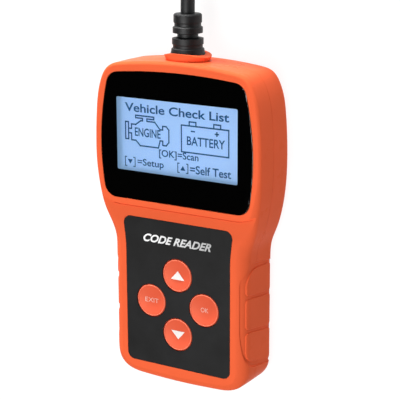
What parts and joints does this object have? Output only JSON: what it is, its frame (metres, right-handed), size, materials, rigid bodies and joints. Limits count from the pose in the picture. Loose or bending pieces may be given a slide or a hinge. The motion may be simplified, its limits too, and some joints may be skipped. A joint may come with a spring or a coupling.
{
  "type": "obd code reader",
  "caption": "Hand-held vehicle code reader with an orange two-part housing, glossy display window, round rubber-backed keys and a black cord ending in a diagnostic plug",
  "frame": {"origin": "middle of the housing's footprint, on the surface that its back rests on", "axes": "+Z out of the face, +Y towards the cord, +X to the right of the display"},
  "size_m": [0.0684, 0.3308, 0.025],
  "materials": {
    "housing_plastic": "fine satin moulded ABS, orange",
    "key_plastic": "satin moulded key, orange, printed legend",
    "lens_clear": "clear hard-coated acrylic, polished",
    "lens_black": "black back-printing seen through the lens",
    "tape": "double-sided tape",
    "overlay_film": "fine-textured printed polyester film",
    "key_rubber": "translucent grey silicone",
    "carbon_pill": "conductive carbon rubber",
    "gold_contact": "gold-plated copper",
    "board_green": "solder mask over fibreglass board",
    "chip_black": "moulded epoxy",
    "can_metal": "drawn can",
    "ceramic": "fired ceramic chip",
    "connector_white": "natural nylon",
    "wire_cover": "coloured vinyl insulation",
    "display_glass": "liquid-crystal glass, blue-white back light",
    "display_frame": "tinned pressed steel",
    "foam": "closed-cell foam strip",
    "light_guide": "diffusing acrylic",
    "pin_metal": "plated brass",
    "screw_steel": "zinc-plated steel",
    "label_paper": "blank silver-grey polyester label",
    "cord_rubber": "black vinyl cord, satin",
    "plug_plastic": "black moulded ABS"
  },
  "bodies": {
    "housing": {"front_shell": "housing_plastic", "rear_shell": "housing_plastic", "display_lens": "lens_clear", "lens_mask": "lens_black", "lens_tape": "tape", "keypad_overlay": "overlay_film", "dome_skirt_up": "key_rubber", "dome_skirt_down": "key_rubber", "dome_skirt_exit": "key_rubber", "dome_skirt_ok": "key_rubber", "keypad_mat": "key_rubber", "key_contacts": "gold_contact", "main_board": "board_green", "processor_chip": "chip_black", "memory_chip": "chip_black", "bus_transceiver": "chip_black", "voltage_regulator": "chip_black", "protection_diodes": "chip_black", "power_inductor": "chip_black", "crystal": "can_metal", "electrolytic_capacitors": "can_metal", "ceramic_capacitors": "ceramic", "chip_resistors": "ceramic", "cable_header": "connector_white", "cable_connector": "connector_white", "cable_wires": "wire_cover", "lcd_glass": "display_glass", "lcd_frame": "display_frame", "lcd_gasket": "foam", "lcd_backlight": "light_guide", "lcd_pins": "pin_metal", "plug_pins": "pin_metal", "housing_screws": "screw_steel", "board_screws": "screw_steel", "plug_screws": "screw_steel", "rear_label": "label_paper", "strain_relief": "cord_rubber", "cable": "cord_rubber", "cable_coil": "cord_rubber", "cable_tail": "cord_rubber", "plug_relief": "cord_rubber", "plug_upper_half": "plug_plastic", "plug_lower_half": "plug_plastic", "plug_shroud": "plug_plastic"},
    "key_up": {"key_cap_up": "key_plastic", "key_stem_up": "key_rubber", "key_pill_up": "carbon_pill"},
    "key_down": {"key_cap_down": "key_plastic", "key_stem_down": "key_rubber", "key_pill_down": "carbon_pill"},
    "key_exit": {"key_cap_exit": "key_plastic", "key_stem_exit": "key_rubber", "key_pill_exit": "carbon_pill"},
    "key_ok": {"key_cap_ok": "key_plastic", "key_stem_ok": "key_rubber", "key_pill_ok": "carbon_pill"}
  },
  "joints": [
    {"name": "up_key_press", "type": "slide", "parent": "housing", "child": "key_up", "axis": [0, 0, -1], "range_m": [0, 0.0008], "stiffness_N_per_m": 400, "springref_m": -0.0008, "deforming": ["dome_skirt_up"]},
    {"name": "down_key_press", "type": "slide", "parent": "housing", "child": "key_down", "axis": [0, 0, -1], "range_m": [0, 0.0008], "stiffness_N_per_m": 400, "springref_m": -0.0008, "deforming": ["dome_skirt_down"]},
    {"name": "exit_key_press", "type": "slide", "parent": "housing", "child": "key_exit", "axis": [0, 0, -1], "range_m": [0, 0.0008], "stiffness_N_per_m": 400, "springref_m": -0.0008, "deforming": ["dome_skirt_exit"]},
    {"name": "ok_key_press", "type": "slide", "parent": "housing", "child": "key_ok", "axis": [0, 0, -1], "range_m": [0, 0.0008], "stiffness_N_per_m": 400, "springref_m": -0.0008, "deforming": ["dome_skirt_ok"]}
  ]
}
